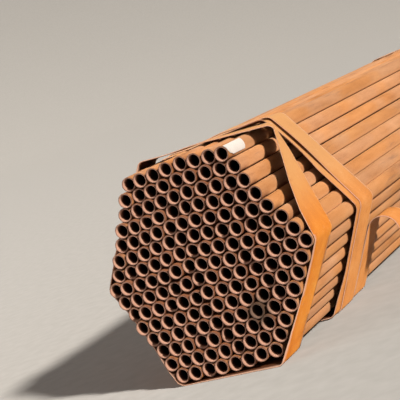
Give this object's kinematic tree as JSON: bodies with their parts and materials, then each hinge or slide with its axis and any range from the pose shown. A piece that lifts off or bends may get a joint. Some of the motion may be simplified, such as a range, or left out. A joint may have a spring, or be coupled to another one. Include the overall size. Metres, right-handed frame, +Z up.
{
  "type": "bundle of steel pipes",
  "caption": "Hexagonal bundle of thin-walled round steel pipes with rusty surfaces, slightly slumped, held by wide flat steel straps, with a blank paper label.",
  "frame": {"origin": "on the ground under the middle of the bundle's bounding box", "axes": "+Y along the pipes from the near end to the far end, +X to the right seen from the near end, +Z up"},
  "size_m": [0.4494, 6.0904, 0.3858],
  "materials": {
    "pipe": "rusted",
    "strap": "rusted",
    "label": "matt paper"
  },
  "bodies": {
    "root": {"double_strap_inner_turn": "strap", "double_strap_outer_turn": "strap", "end_strap": "strap", "label": "label", "loose_strap": "strap", "pipe_layer_01": "pipe", "pipe_layer_02": "pipe", "pipe_layer_03": "pipe", "pipe_layer_04": "pipe", "pipe_layer_05": "pipe", "pipe_layer_06": "pipe", "pipe_layer_07": "pipe", "pipe_layer_08": "pipe", "pipe_layer_09": "pipe", "pipe_layer_10": "pipe", "pipe_layer_11": "pipe", "pipe_layer_12": "pipe", "pipe_layer_13": "pipe", "pipe_layer_14": "pipe", "pipe_layer_15": "pipe", "plain_strap_1": "strap", "plain_strap_2": "strap", "plain_strap_3": "strap", "plain_strap_4": "strap", "plain_strap_5": "strap"}
  },
  "joints": []
}
